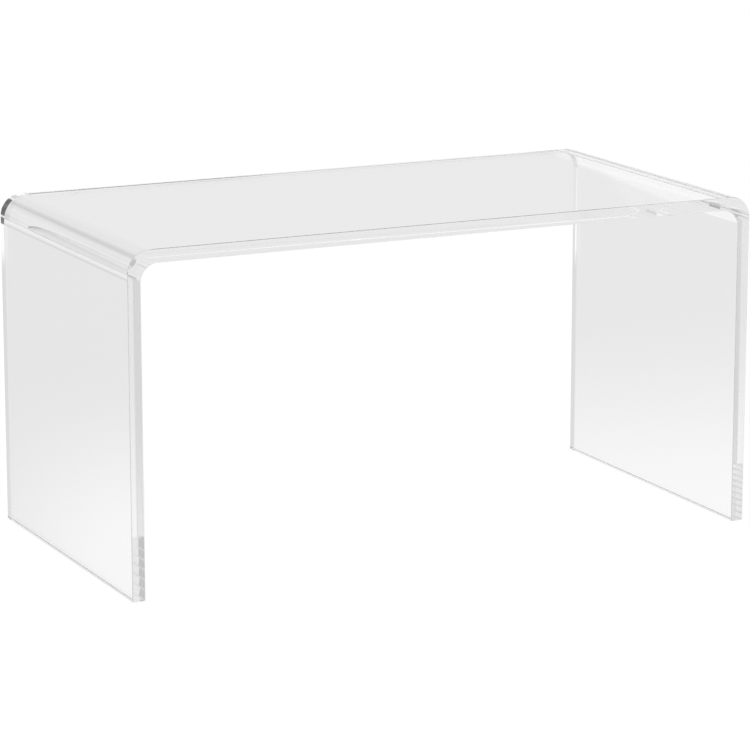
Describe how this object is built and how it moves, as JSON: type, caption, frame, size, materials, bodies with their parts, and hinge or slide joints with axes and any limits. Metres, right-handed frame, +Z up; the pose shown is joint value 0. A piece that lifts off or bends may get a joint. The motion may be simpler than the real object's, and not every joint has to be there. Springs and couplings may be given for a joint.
{
  "type": "waterfall coffee table",
  "caption": "Low coffee table bent from one thick sheet of clear acrylic, whose flat top turns down at both ends into legs, standing on small clear pads.",
  "frame": {"origin": "on the floor, under the middle of the table top", "axes": "+X along the table's length, +Y to its back, +Z up"},
  "size_m": [0.8128, 0.4064, 0.408],
  "materials": {
    "clear_acrylic": "clear cast acrylic, polished faces and edges",
    "clear_polyurethane": "clear soft polyurethane, slightly satin"
  },
  "bodies": {
    "root": {"bent_sheet": "clear_acrylic", "floor_pad_left_front": "clear_polyurethane", "floor_pad_left_back": "clear_polyurethane", "floor_pad_right_front": "clear_polyurethane", "floor_pad_right_back": "clear_polyurethane"}
  },
  "joints": []
}
